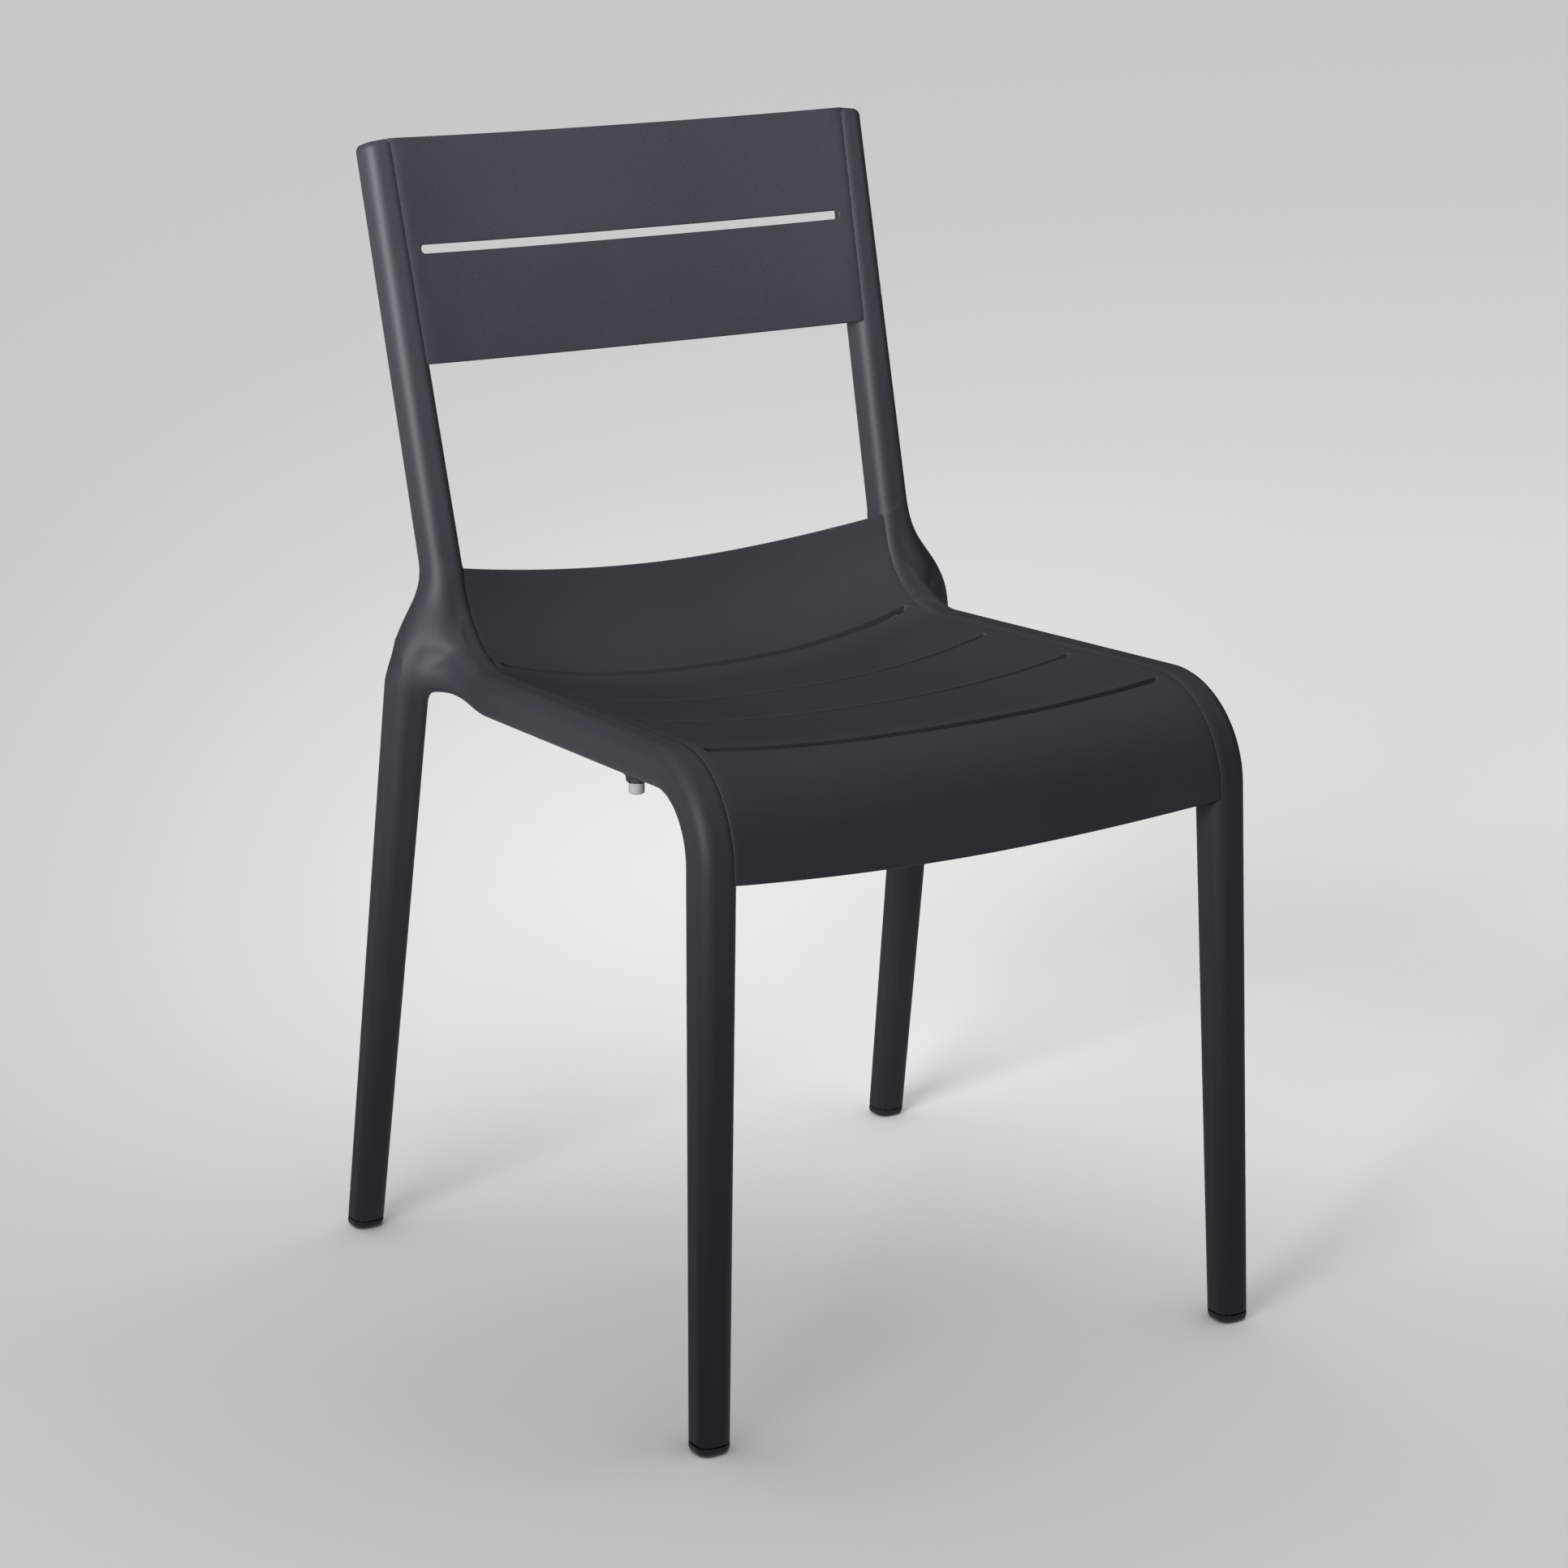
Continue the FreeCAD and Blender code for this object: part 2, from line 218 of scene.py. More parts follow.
web_start = along(main_path[3], np.array(web_start_share))[0]
leg_slope = (shoulder - rear_foot) / shoulder[2]
web_end = rear_foot + leg_slope * (rear_corner[2] + web_rise)
web_path = taper([straight(web_start, web_end)], web_sides, web_sides)
infill_start = along(main_path[3], np.array(infill_start_share))[0]
infill_end = along(leg_path[1], np.array(infill_end_share))[0]
infill_path = taper([straight(infill_start, infill_end)], infill_sides, infill_sides)
boss_axis = front_corner + (rear_corner - front_corner) * boss_run / rail_run
boss_face_z = boss_axis[2] - boss_depth


def side_frame_distance(points):
    """The whole right side frame: both tubes, the bridges in their crotch and the boss. The joint
    is softest at the crotch's height and outboard of it."""
    level = np.exp(-((points[:, 2] - crotch_height) / crotch_reach) ** 2)
    outboard = (1 + np.tanh((points[:, 0] - crotch_side) / crotch_fade)) / 2
    softness = joint_softness + crotch_softness * level * outboard
    rear_leg = tube_distance(points, leg_path, True, False)
    body = soft_union(tube_distance(points, main_path), rear_leg, softness)
    for bridge in (web_path, infill_path):
        body = soft_union(body, tube_distance(points, bridge, False, False), web_softness)
    reach = np.linalg.norm(points[:, :2] - boss_axis[:2], axis=1) - boss_radius
    depth = np.abs(points[:, 2] - (boss_axis[2] + boss_face_z) / 2) - (boss_axis[2] - boss_face_z) / 2
    body = soft_union(body, soft_cut(reach, depth, boss_edge_rounding), boss_softness)
    top_facing = unit(unit(upright_top - rear_corner) + [upright_top_tilt, 0, 0])
    body = soft_cut(body, (points - upright_top) @ top_facing - upright_extra, upright_rounding)
    return soft_cut(body, glide_height - points[:, 2], foot_edge_rounding)


def graded(*stops):
    """Grid lines from stop to stop; each stop after the first is (place, spacing up to it)."""
    lines = [stops[0]]
    for place, spacing in stops[1:]:
        count = max(1, round((place - lines[-1]) / spacing))
        lines += list(np.linspace(lines[-1], place, count + 1)[1:])
    return np.array(lines)


def slope_of(distance, points, step=2e-5):
    """Which way the distance grows fastest at each point."""
    slope = np.empty_like(points)
    for axis in range(3):
        shift = np.zeros(3)
        shift[axis] = step
        slope[:, axis] = (distance(points + shift) - distance(points - shift)) / (2 * step)
    return slope


def settle(distance, points, rounds=3, least_slope=0.1):
    """Moves points straight onto the skin."""
    for _ in range(rounds):
        slope = slope_of(distance, points)
        steepness = np.maximum((slope ** 2).sum(1), least_slope)
        points = points - slope * (distance(points) / steepness)[:, None]
    return points


def skin_over(distance, x_lines, y_lines, z_lines):
    """Points and four-sided faces of the skin: one point in each grid cell that it crosses."""
    lines = (x_lines, y_lines, z_lines)
    grid = np.stack(np.meshgrid(*lines, indexing="ij"), -1)
    value = distance(grid.reshape(-1, 3)).reshape(grid.shape[:3])
    inside = value < 0
    cells = np.array(inside.shape) - 1
    total = np.zeros(tuple(cells) + (3,))
    count = np.zeros(tuple(cells))
    crossings = []
    for axis in range(3):
        low = [slice(None)] * 3
        high = [slice(None)] * 3
        low[axis] = slice(None, -1)
        high[axis] = slice(1, None)
        crossed = inside[tuple(low)] != inside[tuple(high)]
        spots = np.argwhere(crossed)
        ends = spots.copy()
        ends[:, axis] += 1
        before = value[tuple(spots.T)]
        after = value[tuple(ends.T)]
        share = (before / (before - after))[:, None]
        places = grid[tuple(spots.T)] * (1 - share) + grid[tuple(ends.T)] * share
        others = [other for other in range(3) if other != axis]
        around = []
        for shift_a, shift_b in ((0, 0), (-1, 0), (-1, -1), (0, -1)):
            cell = spots.copy()
            cell[:, others[0]] += shift_a
            cell[:, others[1]] += shift_b
            around.append(cell)
            valid = ((cell >= 0) & (cell < cells)).all(1)
            np.add.at(total, tuple(cell[valid].T), places[valid])
            np.add.at(count, tuple(cell[valid].T), 1)
        crossings.append((axis, before < 0, around))
    number = np.full(tuple(cells), -1)
    used = count > 0
    number[used] = np.arange(used.sum())
    points = total[used] / count[used][:, None]
    faces = []
    for axis, leaving, around in crossings:
        valid = np.ones(len(leaving), bool)
        for cell in around:
            valid &= ((cell >= 0) & (cell < cells)).all(1)
        quads = np.stack([number[tuple(cell[valid].T)] for cell in around], 1)
        turn = leaving[valid] != (axis == 1)
        faces.append(np.where(turn[:, None], quads, quads[:, ::-1]))
    return points, np.concatenate(faces)


def relax(distance, points, faces, rounds=4):
    """Evens out the faces while the points stay on the skin."""
    edges = np.concatenate([faces[:, pair] for pair in ([0, 1], [1, 2], [2, 3], [3, 0])])
    for _ in range(rounds):
        total = np.zeros_like(points)
        count = np.zeros(len(points))
        for first, second in ((0, 1), (1, 0)):
            np.add.at(total, edges[:, first], points[edges[:, second]])
            np.add.at(count, edges[:, first], 1)
        points = settle(distance, points + 0.5 * (total / count[:, None] - points), 1)
    return settle(distance, points, 2)


def new_piece(name, points, faces, normals=None):
    """A mesh object with smooth shading, and its own shading normals when they are given."""
    mesh = bpy.data.meshes.new(name)
    corners = [tuple(int(index) for index in face) for face in faces]
    mesh.from_pydata([tuple(point) for point in points], [], corners)
    mesh.polygons.foreach_set("use_smooth", np.ones(len(mesh.polygons), bool))
    if normals is not None:
        mesh.normals_split_custom_set_from_vertices([tuple(normal) for normal in normals])
    piece = bpy.data.objects.new(name, mesh)
    bpy.context.scene.collection.objects.link(piece)
    return piece


fine = 0.0024
along_boss = 0.005
along_rail = 0.007
along_leg = 0.010
at_foot = 0.002
at_top = 0.0016
x_lines = graded(0.168, (0.243, fine))
y_lines = graded(-0.256, (-0.150, fine), (-0.134, along_boss), (-0.115, fine), (0.060, along_rail),
                 (0.256, fine))
z_lines = graded(glide_height - at_foot, (glide_height + 0.008, at_foot), (0.350, along_leg),
                 (0.535, fine), (0.765, along_leg), (0.797, at_top))
frame_points, frame_faces = skin_over(side_frame_distance, x_lines, y_lines, z_lines)
frame_points = relax(side_frame_distance, frame_points, frame_faces)


def anthracite(name, tint, roughness):
    """Moulded polypropylene, dyed through: spark-eroded grain, satin, faintly uneven in tone."""
    material = bpy.data.materials.new(name)
    material.use_nodes = True
    nodes = material.node_tree.nodes
    links = material.node_tree.links
    shader = nodes["Principled BSDF"]
    shader.inputs["IOR"].default_value = 1.49
    shader.inputs["Specular IOR Level"].default_value = 0.19
    place = nodes.new("ShaderNodeTexCoord")

    def noise(scale, detail):
        node = nodes.new("ShaderNodeTexNoise")
        node.inputs["Scale"].default_value = scale
        node.inputs["Detail"].default_value = detail
        links.new(place.outputs["Object"], node.inputs["Vector"])
        return node

    def remap(source, low, high):
        node = nodes.new("ShaderNodeMapRange")
        node.inputs["From Min"].default_value = 0.3
        node.inputs["From Max"].default_value = 0.7
        node.inputs["To Min"].default_value = low
        node.inputs["To Max"].default_value = high
        links.new(source.outputs["Fac"], node.inputs["Value"])
        return node

    cloud = noise(9.0, 3.0)
    speckle = noise(900.0, 2.0)
    grain = noise(2200.0, 3.0)
    tone = nodes.new("ShaderNodeMix")
    tone.data_type = "RGBA"
    tone.inputs["A"].default_value = (*[value * 0.93 for value in tint], 1)
    tone.inputs["B"].default_value = (*[value * 1.07 for value in tint], 1)
    links.new(remap(cloud, 0.0, 1.0).outputs["Result"], tone.inputs["Factor"])
    fleck = nodes.new("ShaderNodeMix")
    fleck.data_type = "RGBA"
    fleck.blend_type = "MULTIPLY"
    fleck.inputs["Factor"].default_value = 1.0
    links.new(tone.outputs["Result"], fleck.inputs["A"])
    links.new(remap(speckle, 0.90, 1.10).outputs["Result"], fleck.inputs["B"])
    links.new(fleck.outputs["Result"], shader.inputs["Base Color"])
    sheen = remap(speckle, roughness - 0.03, roughness + 0.03)
    links.new(sheen.outputs["Result"], shader.inputs["Roughness"])
    bump = nodes.new("ShaderNodeBump")
    bump.inputs["Strength"].default_value = 0.25
    bump.inputs["Distance"].default_value = 0.0001
    links.new(grain.outputs["Fac"], bump.inputs["Height"])
    links.new(bump.outputs["Normal"], shader.inputs["Normal"])
    return material


anthracite_tint = (0.0153, 0.0161, 0.0208)
satin = 0.58
frame_plastic = anthracite("frame_moulding", anthracite_tint, satin)
frame_normals = slope_of(side_frame_distance, frame_points)

for side, sign in (("right", 1), ("left", -1)):
    mirror = np.array([sign, 1, 1])
    faces = frame_faces if sign == 1 else frame_faces[:, ::-1]
    piece = new_piece(f"side_frame_{side}_skin", frame_points * mirror, faces, frame_normals * mirror)
    piece.data.materials.append(frame_plastic)
    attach(piece, "root")
    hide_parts(f"side_frame_{side}")


# ---------------------------------------------------------------------------------------
# SEAT PANEL
# One curved sheet in the frame's plastic: the apron drops down the front legs, the seat is
# dished between the rails, and the rear kicks up the uprights. Its side edges roll down into
# the tubes beside a fine groove, and four long drain slots run across it.
# ---------------------------------------------------------------------------------------
panel_thickness = 0.005
panel_lap_inset = 0.0050
rear_face_height = 0.0146
back_face_height = 0.0130
dish_power = 2.4
seat_dishes = (0.009, 0.009, 0.012, 0.019, 0.026, 0.021, 0.021)
kick_dish_ends_below_back = 0.05
back_dish_starts_below_back = 0.04
apron_edge_z = front_corner[2] - 0.0646
kick_edge_z = rear_corner[2] + 0.0788

edge_rounding = 0.0011
edge_roll = 0.0021
edge_roll_width = 0.008
groove_inset = 0.0030
groove_depth = 0.0019
groove_spread = 0.0008
groove_fade = 0.01
groove_columns = (0.0012, 0.0019, 0.0024, 0.0030, 0.0036, 0.0041, 0.0050, 0.0065)
groove_point_margin = 0.0011
outline_point_margin = 0.0078
slot_point_margin = 0.0075
reverse_rounding = 0.0012
slot_rounding = 0.0010
panel_corner_radius = 0.006

apron_bottom_bow = 0.0116
kick_top_bow = 0.0185

slot_width = 0.0058
slot_front_margin = 0.0405
slot_rear_margin = 0.0349
slot_end_margin = 0.0123
slot_count = 4

back_dish_depth = 0.0122
back_height = 0.1523
back_top_z = upright_top[2] + 0.0010
path_ends = np.cumsum([0.0] + [stretch["length"] for stretch in main_path])


def run_at_height(stretch_index, z):
    """Length along the tube at which a straight stretch's centreline is at height z."""
    stretch = main_path[stretch_index]
    return path_ends[stretch_index] + (z - stretch["start"][2]) / stretch["ahead"][2]


back_low, back_high = run_at_height(4, back_top_z - back_height), run_at_height(4, back_top_z)


def panel_face_height(run):
    """How far the panels' faces stand off the tube's centreline."""
    return np.interp(run, [path_ends[3], path_ends[4]], [rear_face_height, back_face_height])


def panel_dish(run):
    """How deep the middle of a panel lies under its edges, along the tube."""
    rail_middle = (path_ends[2] + path_ends[3]) / 2
    places = [0.0, path_ends[1], path_ends[2], rail_middle, path_ends[3], path_ends[4]]
    places += [back_low - kick_dish_ends_below_back, back_low - back_dish_starts_below_back]
    return np.interp(run, places, seat_dishes + (back_dish_depth,))


def at_length(run):
    """Centreline points and headings at lengths measured along the tube from the front foot."""
    points = np.empty(run.shape + (3,))
    headings = np.empty(run.shape + (3,))
    last = len(main_path) - 1
    owner = np.clip(np.searchsorted(path_ends, run, side="right") - 1, 0, last)
    for index, stretch in enumerate(main_path):
        chosen = owner == index
        share = (run[chosen] - path_ends[index]) / stretch["length"]
        points[chosen], headings[chosen] = along(stretch, share)
    return points, headings


def on_panel(x, run):
    """Points of a panel's face at a distance x from the middle and a length along the tube."""
    axis, heading = at_length(run)
    facing = np.stack([np.zeros_like(run), -heading[..., 2], heading[..., 1]], -1)
    facing /= np.linalg.norm(facing, axis=-1)[..., None]
    half_width = axis[..., 0] - panel_lap_inset
    sag = panel_dish(run) * (1 - np.abs(x / half_width) ** dish_power)
    from_edge = half_width - np.abs(x)
    sag = sag + edge_roll * np.clip(1 - from_edge / edge_roll_width, 0, 1) ** 2
    on_seat = np.clip((back_low - kick_dish_ends_below_back - run) / groove_fade, 0, 1)
    sag = sag + on_seat * groove_depth * np.exp(-((from_edge - groove_inset) / groove_spread) ** 2)
    point = np.stack([x, axis[..., 1], axis[..., 2]], -1)
    return point + facing * (panel_face_height(run) - sag)[..., None]


def panel_normals(x, run, step=2e-4):
    """Which way the panel's face looks."""
    sideways = on_panel(x + step, run) - on_panel(x - step, run)
    forward = on_panel(x, run + step) - on_panel(x, run - step)
    normal = np.cross(sideways, forward)
    return normal / np.linalg.norm(normal, axis=-1)[..., None]


def run_where(x, target, axis, low, high, samples=400):
    """The length along the tube at which the face at x reaches a given height or depth."""
    table = np.linspace(low, high, samples)
    result = np.empty(len(x))
    for index, (place, goal) in enumerate(zip(x, target)):
        reached = on_panel(np.full(samples, place), table)[:, axis]
        result[index] = np.interp(goal, reached, table)
    return result


def bowed_height(x, edge_z, bow, half_width):
    """Height of an arc that hangs by the bow in the middle."""
    radius = (half_width ** 2 + bow ** 2) / (2 * bow)
    return edge_z - bow + radius - np.sqrt(radius ** 2 - x ** 2)


def rounded_corner(before, corner, after, radius, count=8):
    """The arc that rounds a corner of a flat outline, as points."""
    back = unit(before - corner)
    onward = unit(after - corner)
    half_angle = math.acos(float(back @ onward)) / 2
    centre = corner + unit(back + onward) * (radius / math.sin(half_angle))
    enter = corner + back * (radius / math.tan(half_angle)) - centre
    leave = corner + onward * (radius / math.tan(half_angle)) - centre
    angle = math.acos(float(unit(enter) @ unit(leave)))
    shares = np.linspace(0, 1, count + 1)
    return [centre + (enter * math.sin((1 - s) * angle) + leave * math.sin(s * angle)) / math.sin(angle)
            for s in shares]


def panel_mesh(outline, slots, columns, rows, in_slot, slot_axis=None, edge_rings=6):
    """Points, faces and normals of a sheet with rounded edges, cut to an outline with slots.
    Outline and slots are loops of (x, length) with the material on their left. The slots are
    cut along the slot axis, or else square to the face."""
    loops = [outline] + slots
    flat = np.concatenate(loops)
    points = on_panel(flat[:, 0], flat[:, 1])
    normals = panel_normals(flat[:, 0], flat[:, 1])
    inward = normals.copy()
    if slot_axis is not None:
        slanted = slice(len(outline), None)
        inward[slanted] = slot_axis / (normals[slanted] @ slot_axis)[:, None]
    outward = np.empty_like(points)
    starts = np.cumsum([0] + [len(loop) for loop in loops])
    for first, end in zip(starts, starts[1:]):
        ring = points[first:end]
        tangent = np.roll(ring, -1, 0) - np.roll(ring, 1, 0)
        away = np.cross(tangent, inward[first:end])
        outward[first:end] = away / np.linalg.norm(away, axis=1)[:, None]
    angles = np.linspace(0, math.pi / 2, edge_rings)
    rings = []
    rounding = np.full((len(flat), 1), slot_rounding)
    rounding[:len(outline)] = edge_rounding
    for angle in angles:
        inset = rounding * (1 - math.cos(angle))
        depth = rounding * (1 - math.sin(angle))
        rings.append((points - outward * inset - inward * depth,
                      outward * math.cos(angle) + normals * math.sin(angle)))
    for angle in angles:
        inset = reverse_rounding * (1 - math.cos(angle))
        depth = panel_thickness - reverse_rounding * (1 - math.sin(angle))
        rings.append((points - outward * inset - inward * depth,
                      outward * math.cos(angle) - normals * math.sin(angle)))
    count = len(flat)
    order = list(range(edge_rings - 1, -1, -1)) + list(range(edge_rings, 2 * edge_rings))
    faces = []
    for upper, lower in zip(order, order[1:]):
        for first, end in zip(starts, starts[1:]):
            for index in range(first, end):
                after = index + 1 if index + 1 < end else first
                faces.append((upper * count + index, lower * count + index,
                              lower * count + after, upper * count + after))
    across, lengthwise = np.meshgrid(columns, rows, indexing="ij")
    inner = np.stack([across.ravel(), lengthwise.ravel()], 1)
    beside = np.array([(sign * (edge_width(run)[0] - inset), run)
                       for run in rows for inset in groove_columns for sign in (-1, 1)])
    margins = np.repeat([outline_point_margin, groove_point_margin], [len(inner), len(beside)])
    inner = np.concatenate([inner, beside])
    clear = np.ones(len(inner), bool)
    for loop in loops:
        margin = margins if loop is outline else slot_point_margin
        for start, end in zip(loop, np.roll(loop, -1, 0)):
            edge = end - start
            share = np.clip((inner - start) @ edge / (edge @ edge), 0, 1)[:, None]
            clear &= np.linalg.norm(inner - start - edge * share, axis=1) > margin
    inner = inner[clear]
    sites = np.concatenate([flat, inner])
    borders = []
    for first, end in zip(starts, starts[1:]):
        borders += [(i, i + 1) for i in range(first, end - 1)] + [(end - 1, first)]
    outer = [list(range(len(outline)))]
    cut = delaunay_2d_cdt([Vector(site) for site in sites], borders, outer, 1, 1e-7)
    sources = [ids[0] if ids else -1 for ids in cut[3]]
    inner_start = 2 * edge_rings * count
    inner_points = on_panel(inner[:, 0], inner[:, 1])
    inner_normals = panel_normals(inner[:, 0], inner[:, 1])
    face_top = (edge_rings - 1) * count
    face_under = (2 * edge_rings - 1) * count
    for triangle in cut[2]:
        corners = [sources[index] for index in triangle]
        middle = sites[corners].mean(0)
        if in_slot(middle) or not inside_loop(middle, outline):
            continue
        top = [index + face_top if index < count else index - count + inner_start for index in corners]
        under = [index + face_under if index < count else index - count + inner_start + len(inner)
                 for index in corners]
        faces.append(tuple(top))
        faces.append(tuple(reversed(under)))
    all_points = np.concatenate(
        [ring[0] for ring in rings] + [inner_points, inner_points - inner_normals * panel_thickness])
    all_normals = np.concatenate([ring[1] for ring in rings] + [inner_normals, -inner_normals])
    return all_points, faces, all_normals


def inside_loop(place, loop):
    """Whether a flat place lies inside a closed loop."""
    x, y = place
    ahead = np.roll(loop, -1, 0)
    spans = (loop[:, 1] > y) != (ahead[:, 1] > y)
    rise = np.where(spans, ahead[:, 1] - loop[:, 1], 1)
    crossing = loop[:, 0] + (y - loop[:, 1]) * (ahead[:, 0] - loop[:, 0]) / rise
    return bool((spans & (crossing > x)).sum() % 2)


def edge_width(run):
    """Half the panel's width at lengths along the tube."""
    return at_length(np.atleast_1d(run))[0][:, 0] - panel_lap_inset


def stadium(middle_y, half_length, width, side_points=90, end_points=9):
    """A slot's outline with round ends, as (x, y), clockwise seen from above."""
    straight_half = half_length - width / 2
    steps = np.linspace(-straight_half, straight_half, side_points)
    turns = np.linspace(math.pi / 2, -math.pi / 2, end_points)[1:-1]
    top = [(x, middle_y + width / 2) for x in steps]
    right = [(straight_half + width / 2 * math.cos(a), middle_y + width / 2 * math.sin(a)) for a in turns]
    under = [(x, middle_y - width / 2) for x in steps[::-1]]
    left = [(-straight_half - width / 2 * math.cos(a), middle_y - width / 2 * math.sin(a)) for a in turns]
    return np.array(top + right + under + left)


cross_points = 61
side_points = 150
apron_half = front_corner[0] - panel_lap_inset
kick_half = rear_corner[0] - panel_lap_inset
bottom_x = np.linspace(-apron_half, apron_half, cross_points)
bottom_edge = run_where(
    bottom_x, bowed_height(bottom_x, apron_edge_z, apron_bottom_bow, apron_half),
    2, path_ends[1] - 0.10, path_ends[1])
top_x = np.linspace(kick_half, -kick_half, cross_points)
top_edge = run_where(
    top_x, bowed_height(top_x, kick_edge_z, kick_top_bow, kick_half),
    2, path_ends[4] - 0.03, path_ends[4] + 0.12)
bottom_half = float(edge_width(bottom_edge[-1])[0])
top_half = float(edge_width(top_edge[0])[0])
bottom_line = list(np.stack([np.linspace(-bottom_half, bottom_half, cross_points), bottom_edge], 1))
top_line = list(np.stack([np.linspace(top_half, -top_half, cross_points), top_edge], 1))
side_runs = np.linspace(bottom_edge[-1], top_edge[0], side_points)
side_line = [np.array((edge_width(run)[0], run)) for run in side_runs]
corner_right = rounded_corner(bottom_line[-4], bottom_line[-1], side_line[8], panel_corner_radius)
corner_left = [point * [-1, 1] for point in reversed(corner_right)]


def past(line, places, reach):
    """The points of a line that lie further than the reach from every one of the places."""
    return [point for point in line
            if all(np.linalg.norm(point - place) > reach for place in places)]


bottom_reach = panel_corner_radius * 1.15
right_side = past(side_line, [bottom_line[-1]], bottom_reach)
left_side = [point * [-1, 1] for point in reversed(right_side)]
bottom_middle = past(bottom_line, [bottom_line[0], bottom_line[-1]], bottom_reach)
seat_outline = np.array(
    corner_left + bottom_middle + corner_right + right_side + top_line[1:-1] + left_side)

seat_slots = []
slot_places = []
slotted_start = path_ends[2] - 0.02
slotted_end = path_ends[4] - 0.02
slotted_run = rail_run - slot_front_margin - slot_rear_margin
for index in range(slot_count):
    share = (slot_front_margin + slotted_run * index / (slot_count - 1)) / rail_run
    rail_point = front_corner + (rear_corner - front_corner) * share
    half_length = rail_point[0] - panel_lap_inset - slot_end_margin
    loop = stadium(rail_point[1], half_length, slot_width)
    runs = run_where(loop[:, 0], loop[:, 1], 1, slotted_start, slotted_end)
    seat_slots.append(np.stack([loop[:, 0], runs], 1))
    slot_places.append((rail_point[1], half_length))


def in_seat_slot(place):
    """Whether a flat place lies in one of the seat's slots."""
    y = on_panel(np.array([place[0]]), np.array([place[1]]))[0, 1]
    on_top = place[1] > slotted_start
    return any(on_top and abs(y - slot_y) < slot_width / 2 and abs(place[0]) < half
               for slot_y, half in slot_places)


seat_column_reach = 0.184
seat_column_count = 53
seat_row_spacing = 0.0065
columns = np.linspace(-seat_column_reach, seat_column_reach, seat_column_count)
rows = np.arange(float(bottom_edge.min()), float(top_edge.max()), seat_row_spacing)
seat_points, seat_faces, seat_normals = panel_mesh(
    seat_outline, seat_slots, columns, rows, in_seat_slot, np.array([0.0, 0.0, 1.0]))
panel_plastic = anthracite("panel_moulding", anthracite_tint, satin)
seat = new_piece("seat_panel_sheet", seat_points, seat_faces, seat_normals)
seat.data.materials.append(panel_plastic)
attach(seat, "root")
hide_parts("seat_panel")


# ---------------------------------------------------------------------------------------
# BACK PANEL
# A sheet curved gently round the sitter, in the frame's plastic. It laps onto both uprights
# like the seat, and one long slot runs across it at about half its height.
# ---------------------------------------------------------------------------------------
back_slot_height = 0.0064
back_slot_below_top = 0.0753
back_slot_end_margin = 0.0136
back_corner_radius = 0.005
back_top_corner_radius = 0.001
back_column_reach = 0.176
back_column_count = 51
back_row_spacing = 0.0075
back_side_points = 34
back_cross_points = 60
back_low_margin = 0.012
back_high_margin = 0.006

slot_run = run_at_height(4, back_top_z - back_slot_below_top)
low_half = float(edge_width(back_low)[0])
high_half = float(edge_width(back_high)[0])
low_corner = np.array((low_half, back_low))
high_corner = np.array((high_half, back_high))
up_right = [low_corner + (high_corner - low_corner) * share
            for share in np.linspace(0.06, 0.98, back_side_points)]
lower_right = rounded_corner(low_corner * [0, 1], low_corner, high_corner, back_corner_radius)
upper_right = rounded_corner(low_corner, high_corner, high_corner * [0, 1], back_top_corner_radius, 4)
right_half = lower_right + up_right + upper_right
low_reach = low_half - back_low_margin
high_reach = high_half - back_high_margin
across_low = [np.array((x, back_low)) for x in np.linspace(-low_reach, low_reach, back_cross_points)]
across_high = [np.array((x, back_high)) for x in np.linspace(high_reach, -high_reach, back_cross_points)]
left_half = [point * [-1, 1] for point in reversed(right_half)]
back_outline = np.array(across_low + right_half + across_high + left_half)
slot_half = float(edge_width(slot_run)[0]) - back_slot_end_margin
back_slot = stadium(slot_run, slot_half, back_slot_height)


def in_back_slot(place):
    """Whether a flat place lies in the back's slot."""
    return abs(place[1] - slot_run) < back_slot_height / 2 and abs(place[0]) < slot_half


columns = np.linspace(-back_column_reach, back_column_reach, back_column_count)
rows = np.arange(back_low, back_high, back_row_spacing)
back_points, back_faces, back_normals = panel_mesh(
    back_outline, [back_slot], columns, rows, in_back_slot)
back = new_piece("back_panel_sheet", back_points, back_faces, back_normals)
back.data.materials.append(panel_plastic)
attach(back, "root")
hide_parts("back_panel")


# ---------------------------------------------------------------------------------------
# FOOT GLIDES
# A plug closes each leg: it carries on the leg's section for the last few millimetres and
# rounds off to the floor. Same plastic as the frame, with its seam hardly to be seen.
# ---------------------------------------------------------------------------------------
glide_rounding = 0.004
glide_steps = 6


def leg_section(stretch, z, inset, count=12):
    """A level loop round a straight leg at height z, drawn in by the inset."""
    share = z / (stretch["length"] * stretch["ahead"][2])
    middle, heading = along(stretch, np.array(share))
    across = unit(np.array([1.0, 0.0, 0.0]) - heading * heading[0])
    upward = np.cross(heading, across)
    low, high = stretch["sides"]
    flat_x, flat_y = (low + (high - low) * share) / 2 - corner_radius
    radius = corner_radius - inset
    loop = []
    for quarter in range(4):
        turn = quarter * math.pi / 2
        corner_x = flat_x * (1 if quarter in (0, 3) else -1)
        corner_y = flat_y * (1 if quarter in (0, 1) else -1)
        for step in range(count + 1):
            angle = turn + step / count * math.pi / 2
            offset = across * (corner_x + radius * math.cos(angle))
            offset = offset + upward * (corner_y + radius * math.sin(angle))
            loop.append(middle + offset - heading * (offset[2] / heading[2]))
    return loop


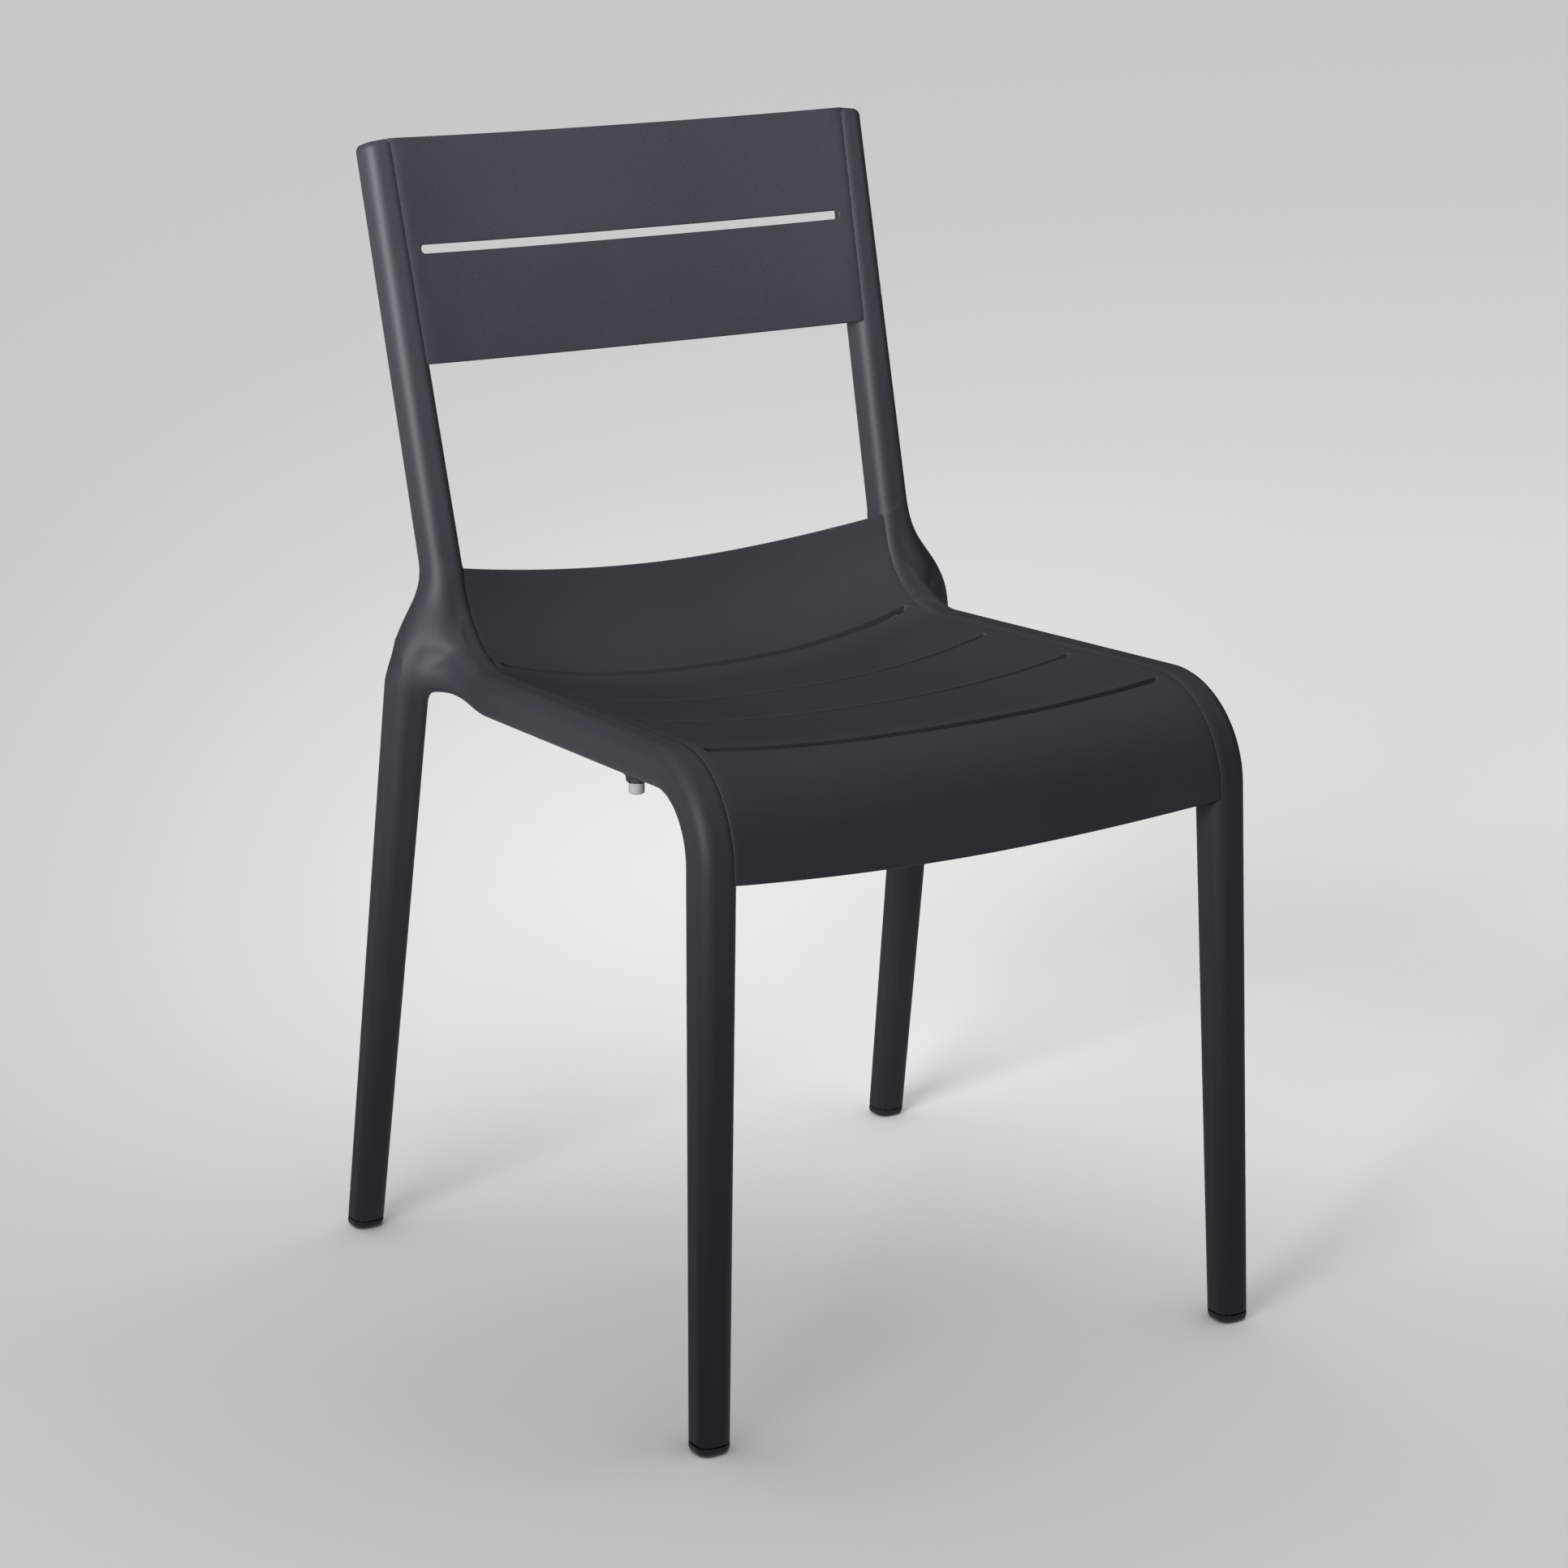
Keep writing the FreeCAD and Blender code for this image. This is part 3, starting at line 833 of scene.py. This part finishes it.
for name, stretch in (("front", main_path[0]), ("rear", leg_path[0])):
    turns = [0.0, 0.0] + [step / glide_steps * math.pi / 2 for step in range(1, glide_steps + 1)]
    levels = [(glide_rounding * (1 - math.sin(a)), glide_rounding * (1 - math.cos(a))) for a in turns]
    levels[0] = (glide_height, 0.0)
    rings = [leg_section(stretch, z, inset) for z, inset in levels]
    outward = np.array(leg_section(stretch, 0.0, 0.0)) - np.array(leg_section(stretch, 0.0, 0.001))
    outward /= np.linalg.norm(outward, axis=1)[:, None]
    normals = np.concatenate([outward * math.cos(a) - np.array([0, 0, math.sin(a)]) for a in turns])
    size = len(rings[0])
    points = np.array([point for ring in rings for point in ring])
    faces = []
    for ring in range(len(rings) - 1):
        for index in range(size):
            after = (index + 1) % size
            faces.append((ring * size + index, (ring + 1) * size + index,
                          (ring + 1) * size + after, ring * size + after))
    faces.append(tuple(range(size)))
    faces.append(tuple(reversed(range((len(rings) - 1) * size, len(rings) * size))))
    for side, sign in (("right", 1), ("left", -1)):
        sided = [face if sign == 1 else tuple(reversed(face)) for face in faces]
        mirror = np.array([sign, 1, 1])
        glide = new_piece(f"{name}_foot_glide_{side}_plug", points * mirror, sided, normals * mirror)
        glide.data.materials.append(frame_plastic)
        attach(glide, "root")
        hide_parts(f"{name}_foot_glide_{side}")


# ---------------------------------------------------------------------------------------
# STACKING BUMPER CAPS
# A pale rubbery cap is plugged into the boss under each rail, so that stacked chairs rest
# on it and don't scratch the one below. The CAD solid has its shape already.
# ---------------------------------------------------------------------------------------
cap_rubber = anthracite("bumper_cap", (0.20, 0.204, 0.216), 0.5)
for side in ("right", "left"):
    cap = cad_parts[f"stacking_bumper_cap_{side}"]
    cap.data.materials.clear()
    cap.data.materials.append(cap_rubber)


# ---------------------------------------------------------------------------------------
# ROOM
# A plain pale floor, which throws no light back onto the chair, an even studio glow, one
# softbox at the upper left, and the camera somewhat above the chair.
# ---------------------------------------------------------------------------------------
floor_mesh = bpy.data.meshes.new("floor")
floor_mesh.from_pydata([(-30, -30, 0), (30, -30, 0), (30, 30, 0), (-30, 30, 0)], [], [(0, 1, 2, 3)])
floor = bpy.data.objects.new("floor", floor_mesh)
bpy.context.scene.collection.objects.link(floor)
floor_paint = bpy.data.materials.new("floor_paint")
floor_paint.use_nodes = True
floor_paint.node_tree.nodes["Principled BSDF"].inputs["Base Color"].default_value = (0.9, 0.9, 0.9, 1)
floor_paint.node_tree.nodes["Principled BSDF"].inputs["Roughness"].default_value = 0.9
floor_mesh.materials.append(floor_paint)
floor.visible_diffuse = False
floor.visible_glossy = False

world = bpy.data.worlds.new("studio")
world.use_nodes = True
background = world.node_tree.nodes["Background"]
background.inputs["Strength"].default_value = 1.0
direction = world.node_tree.nodes.new("ShaderNodeTexCoord")
height = world.node_tree.nodes.new("ShaderNodeSeparateXYZ")
share = world.node_tree.nodes.new("ShaderNodeMapRange")
share.inputs["From Min"].default_value = -1.0
glow = world.node_tree.nodes.new("ShaderNodeValToRGB")
glow.color_ramp.interpolation = "EASE"
for place, level in ((0.35, 0.80), (0.5, 0.09), (0.68, 0.08)):
    stop = glow.color_ramp.elements.new(place)
    stop.color = (level, level, level, 1)
glow.color_ramp.elements[0].color = (0.80, 0.80, 0.80, 1)
glow.color_ramp.elements[-1].position = 0.95
glow.color_ramp.elements[-1].color = (1.05, 1.05, 1.05, 1)
world.node_tree.links.new(direction.outputs["Generated"], height.inputs["Vector"])
world.node_tree.links.new(height.outputs["Z"], share.inputs["Value"])
world.node_tree.links.new(share.outputs["Result"], glow.inputs["Fac"])
world.node_tree.links.new(glow.outputs["Color"], background.inputs["Color"])
bpy.context.scene.world = world
bpy.context.scene.view_settings.view_transform = "Standard"


def softbox(name, place, aim, width, height, power):
    """A rectangular studio light at a place, turned to its aim."""
    lamp = bpy.data.lights.new(name, "AREA")
    lamp.shape = "RECTANGLE"
    lamp.size = width
    lamp.size_y = height
    lamp.energy = power
    lamp.spread = math.radians(70)
    holder = bpy.data.objects.new(name, lamp)
    holder.location = place
    holder.rotation_euler = (Vector(aim) - Vector(place)).to_track_quat("-Z", "Y").to_euler()
    bpy.context.scene.collection.objects.link(holder)


softbox("key", (-1.15, -0.58, 1.06), (-0.05, 0.15, 1.01), 0.8, 0.8, 21)

camera_data = bpy.data.cameras.new("camera")
camera_data.sensor_width = 36.0
camera_data.lens = 94.23
camera = bpy.data.objects.new("camera", camera_data)
yaw = math.radians(31.326)
pitch = math.radians(15.698)
camera.location = (-1.4334, -2.3453, 1.1311)
camera.rotation_euler = (math.pi / 2 - pitch, 0, -yaw)
bpy.context.scene.collection.objects.link(camera)
bpy.context.scene.camera = camera
